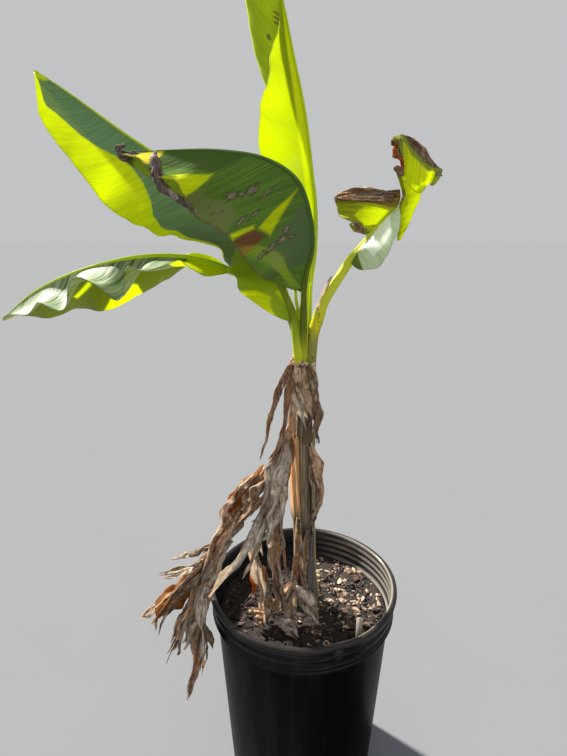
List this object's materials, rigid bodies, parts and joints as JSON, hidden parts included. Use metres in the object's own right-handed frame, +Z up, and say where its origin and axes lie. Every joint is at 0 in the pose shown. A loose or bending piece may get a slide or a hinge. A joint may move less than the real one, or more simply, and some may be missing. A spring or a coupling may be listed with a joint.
{
  "type": "potted banana plant",
  "caption": "Young banana plant in a round black nursery pot, with broad green leaves held up on one slim stem and withered brown leaves hanging over the rim.",
  "frame": {"origin": "middle of the pot's flat underside, on the ground", "axes": "+Z up, -Y towards the side that the picture shows, +X to the right in the picture"},
  "size_m": [0.8392, 0.432, 1.8354],
  "materials": {
    "pot_plastic": "satin black, streaky",
    "potting_mix": "loose dark bark mix",
    "tag_plastic": "bare, matt",
    "stem": "fibrous, olive and brown",
    "dry_sheath": "dry, fibrous",
    "petiole_green": "satin, yellow edges",
    "leaf_green": "satin, veined across",
    "leaf_dark": "satin, veined across",
    "leaf_grey": "waxy grey-green",
    "leaf_burnt": "withered, yellow and brown",
    "dead_pale": "papery, grey",
    "dead_brown": "papery, brown"
  },
  "bodies": {
    "root": {"pot": "pot_plastic", "potting_mix": "potting_mix", "plant_tag": "tag_plastic", "pseudostem": "stem", "dry_sheath_left": "dry_sheath", "dry_sheath_right": "dry_sheath", "dry_sheath_front": "dry_sheath", "dry_collar": "dry_sheath", "petiole_front": "petiole_green", "petiole_upper_left": "petiole_green", "petiole_right": "petiole_green", "petiole_lower_left": "petiole_green", "petiole_top": "petiole_green", "blade_upper_left": "leaf_green", "blade_top": "leaf_green", "blade_lower_left": "leaf_green", "blade_front": "leaf_dark", "blade_right": "leaf_grey", "blade_right_flap": "leaf_burnt", "blade_right_tip": "leaf_burnt", "dead_leaf_pale": "dead_pale", "dead_leaf_over_rim": "dead_pale", "dead_leaf_foot": "dead_pale", "dead_leaf_curls": "dead_brown", "dead_leaf_brown": "dead_brown", "dead_leaf_thin": "dead_brown", "dead_leaf_right": "dead_brown", "dead_strip_right": "dead_brown"}
  },
  "joints": []
}
